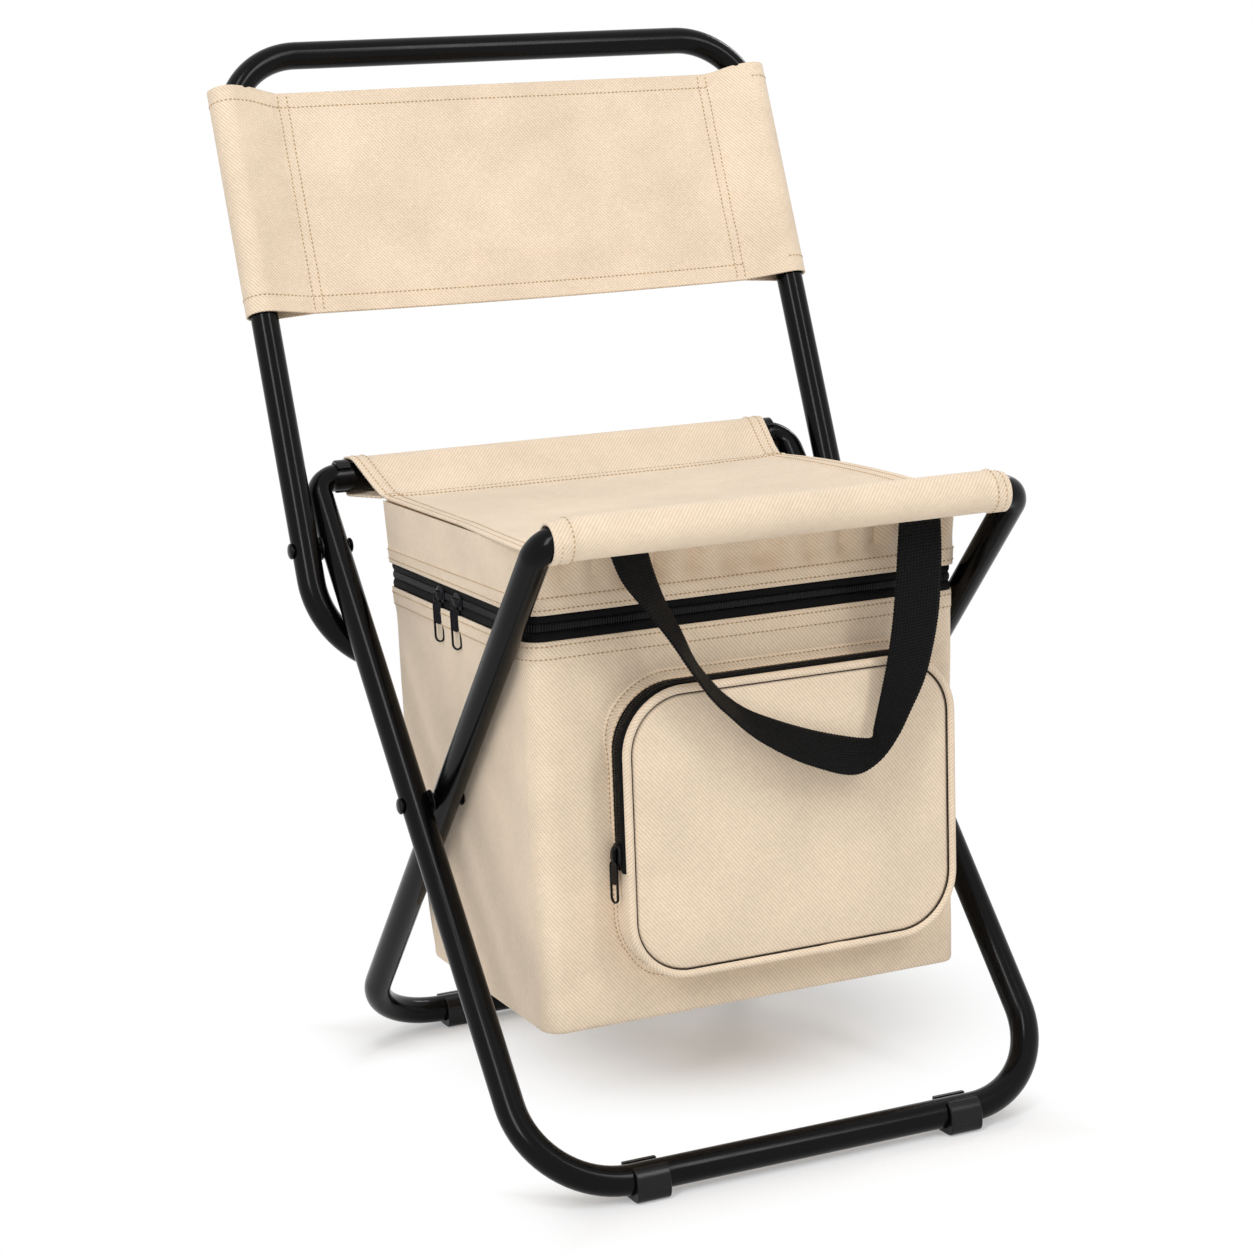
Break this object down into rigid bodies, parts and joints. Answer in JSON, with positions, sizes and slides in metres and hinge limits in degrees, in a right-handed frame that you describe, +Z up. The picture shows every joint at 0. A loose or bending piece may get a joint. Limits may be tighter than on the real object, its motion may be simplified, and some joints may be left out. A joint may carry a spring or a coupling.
{
  "type": "folding cooler stool",
  "caption": "Folding stool of crossed tube frames with a sling seat and backrest, a zipped cooler bag under the seat, a front pocket and a webbing handle.",
  "frame": {"origin": "on the floor, under the middle of the stool's bounding box", "axes": "+Z up, -Y towards the front (the pocket side), +Y towards the backrest, +X to the sitter's left"},
  "size_m": [0.361, 0.3924, 0.6031],
  "materials": {
    "black_tube": "gloss black powder coat on round steel tube",
    "black_plastic": "satin black plastic",
    "dark_metal": "blackened metal",
    "beige_cloth": "woven polyester with a fine diagonal weave",
    "liner_film": "foam with a silvery film face",
    "black_tape": "woven zipper tape with a moulded coil",
    "black_webbing": "25 mm ribbed webbing"
  },
  "bodies": {
    "outer_frame": {"outer_leg_frame": "black_tube", "leg_pivot_rivet_left": "dark_metal", "leg_pivot_rivet_right": "dark_metal", "leg_pivot_washer_left": "black_plastic", "leg_pivot_washer_right": "black_plastic", "back_pivot_rivet_left": "dark_metal", "back_pivot_rivet_right": "dark_metal", "back_pivot_washer_left": "black_plastic", "back_pivot_washer_right": "black_plastic", "front_foot_left": "black_plastic", "front_foot_right": "black_plastic", "rear_bar_clip_left": "black_plastic", "rear_bar_clip_right": "black_plastic", "seat_panel": "beige_cloth", "bag_body": "beige_cloth", "bag_liner": "liner_film", "main_zipper": "black_tape", "bag_rear_hinge": "beige_cloth", "bag_top_band": "beige_cloth", "pocket_shell": "beige_cloth", "pocket_panel": "beige_cloth", "pocket_piping": "beige_cloth", "pocket_zipper": "black_tape"},
    "inner_frame": {"inner_leg_frame": "black_tube", "rear_foot_left": "black_plastic", "rear_foot_right": "black_plastic", "seat_front_sleeve": "beige_cloth"},
    "backrest": {"back_frame": "black_tube", "backrest_sling": "beige_cloth"},
    "rear_slider": {"zipper_slider_rear": "dark_metal"},
    "rear_pull": {"zipper_pull_rear": "dark_metal"},
    "front_slider": {"zipper_slider_front": "dark_metal"},
    "front_pull": {"zipper_pull_front": "dark_metal"},
    "pocket_slider_body": {"pocket_slider": "dark_metal"},
    "pocket_pull_body": {"pocket_pull": "dark_metal"},
    "handle": {"carry_handle": "black_webbing"}
  },
  "joints": [
    {"name": "leg_fold", "type": "hinge", "parent": "outer_frame", "child": "inner_frame", "pos_m": [0, -0.02266, 0.18665], "axis": [-1, 0, 0], "range_deg": [0, 81]},
    {"name": "back_fold", "type": "hinge", "parent": "outer_frame", "child": "backrest", "pos_m": [0, 0.08774, 0.31592], "axis": [1, 0, 0], "range_deg": [0, 97]},
    {"name": "rear_slider_run", "type": "slide", "parent": "outer_frame", "child": "rear_slider", "axis": [0, 1, 0], "range_m": [0, 0.046]},
    {"name": "rear_pull_swing", "type": "hinge", "parent": "rear_slider", "child": "rear_pull", "pos_m": [-0.1233, -0.00866, 0.294], "axis": [0, 1, 0], "range_deg": [0, 80]},
    {"name": "front_slider_run", "type": "slide", "parent": "outer_frame", "child": "front_slider", "axis": [0, -1, 0], "range_m": [0, 0.073]},
    {"name": "front_pull_swing", "type": "hinge", "parent": "front_slider", "child": "front_pull", "pos_m": [-0.1233, -0.03566, 0.294], "axis": [0, 1, 0], "range_deg": [0, 80]},
    {"name": "pocket_slider_run", "type": "slide", "parent": "outer_frame", "child": "pocket_slider_body", "axis": [0, -0.0459, 0.9989], "range_m": [0, 0.045]},
    {"name": "pocket_pull_swing", "type": "hinge", "parent": "pocket_slider_body", "child": "pocket_pull_body", "pos_m": [-0.0871, -0.13819, 0.17243], "axis": [0, 0.9989, 0.0459], "range_deg": [0, 80]},
    {"name": "handle_swing", "type": "hinge", "parent": "outer_frame", "child": "handle", "pos_m": [0.006, -0.16266, 0.3289], "axis": [-1, 0, 0], "range_deg": [0, 50]}
  ]
}
